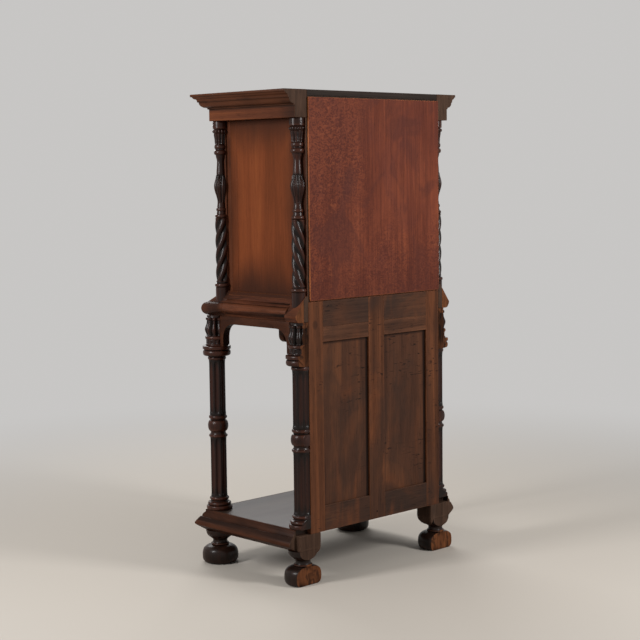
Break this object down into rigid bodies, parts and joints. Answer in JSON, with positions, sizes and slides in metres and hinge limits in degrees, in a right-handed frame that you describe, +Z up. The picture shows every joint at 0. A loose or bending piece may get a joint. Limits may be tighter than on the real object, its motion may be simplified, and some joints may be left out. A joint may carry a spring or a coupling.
{
  "type": "cocktail cabinet",
  "caption": "Renaissance-revival walnut cocktail cabinet: a locking cupboard flanked by turned columns over a waist drawer, on an open stand of fluted columns with a low shelf and bun feet.",
  "frame": {"origin": "on the floor under the middle of the cabinet's box", "axes": "+Z up, front faces -Y, +X to the right of a person facing the front"},
  "size_m": [0.764, 0.4815, 1.5],
  "materials": {
    "dark_walnut": "dark stained walnut, satin shellac with worn edges",
    "carved_walnut": "near-black stained turned walnut, waxed",
    "side_walnut": "warm orange-brown walnut, satin",
    "back_walnut": "stained, rough brown backing wood with knots",
    "red_stained_oak": "red-brown stained oak veneer, semi-matt",
    "inner_oak": "plain unstained oak, dry",
    "brass": "aged brass",
    "iron": "dark iron"
  },
  "bodies": {
    "cabinet": {"base_moulding_front": "dark_walnut", "base_moulding_left": "dark_walnut", "base_moulding_right": "dark_walnut", "base_shelf": "dark_walnut", "apron_front": "dark_walnut", "apron_left": "dark_walnut", "apron_right": "dark_walnut", "waist_moulding_left": "dark_walnut", "waist_moulding_right": "dark_walnut", "waist_board": "dark_walnut", "front_stile_left": "dark_walnut", "front_stile_right": "dark_walnut", "cornice_front": "dark_walnut", "cornice_left": "dark_walnut", "cornice_right": "dark_walnut", "top_board": "dark_walnut", "foot_front_left": "carved_walnut", "foot_front_right": "carved_walnut", "foot_rear_left": "carved_walnut", "foot_rear_right": "carved_walnut", "lower_column_front_left": "carved_walnut", "lower_column_front_right": "carved_walnut", "lower_column_rear_left": "carved_walnut", "lower_column_rear_right": "carved_walnut", "upper_column_front_left": "carved_walnut", "upper_column_front_right": "carved_walnut", "upper_column_rear_left": "carved_walnut", "upper_column_rear_right": "carved_walnut", "side_panel_left": "side_walnut", "side_panel_right": "side_walnut", "back_stile_left": "back_walnut", "back_stile_right": "back_walnut", "back_muntin": "back_walnut", "back_top_rail": "back_walnut", "back_mid_rail": "back_walnut", "back_bottom_rail": "back_walnut", "back_panel_left": "back_walnut", "back_panel_right": "back_walnut", "top_back_rail": "back_walnut", "upper_back_board": "red_stained_oak", "dust_board": "inner_oak", "cupboard_shelf": "inner_oak", "hinge_lower_fixed": "iron", "hinge_upper_fixed": "iron"},
    "door": {"door_hinge_stile": "dark_walnut", "door_lock_stile": "dark_walnut", "door_top_rail": "dark_walnut", "door_bottom_rail": "dark_walnut", "door_panel": "dark_walnut", "hinge_lower_moving": "iron", "hinge_upper_moving": "iron", "escutcheon": "brass"},
    "key": {"key": "iron"},
    "bolt": {"lock_bolt": "iron"},
    "drawer": {"drawer_front": "dark_walnut", "drawer_side_left": "inner_oak", "drawer_side_right": "inner_oak", "drawer_back": "inner_oak", "drawer_bottom": "inner_oak", "drawer_pull": "brass"}
  },
  "joints": [
    {"name": "door_swing", "type": "hinge", "parent": "cabinet", "child": "door", "pos_m": [-0.273, -0.11715, 1.15], "axis": [0, 0, -1], "range_deg": [0, 110]},
    {"name": "drawer_slide", "type": "slide", "parent": "cabinet", "child": "drawer", "axis": [0, -1, 0], "range_m": [0, 0.26]},
    {"name": "key_turn", "type": "hinge", "parent": "door", "child": "key", "pos_m": [0.2435, -0.09965, 1.145], "axis": [0, 1, 0], "range_deg": [0, 180]},
    {"name": "bolt_slide", "type": "slide", "parent": "door", "child": "bolt", "axis": [1, 0, 0], "range_m": [0, 0.009]}
  ],
  "couplings": [
    {"joint": "key_turn", "follows": "bolt_slide", "rad_per_m": 345}
  ]
}
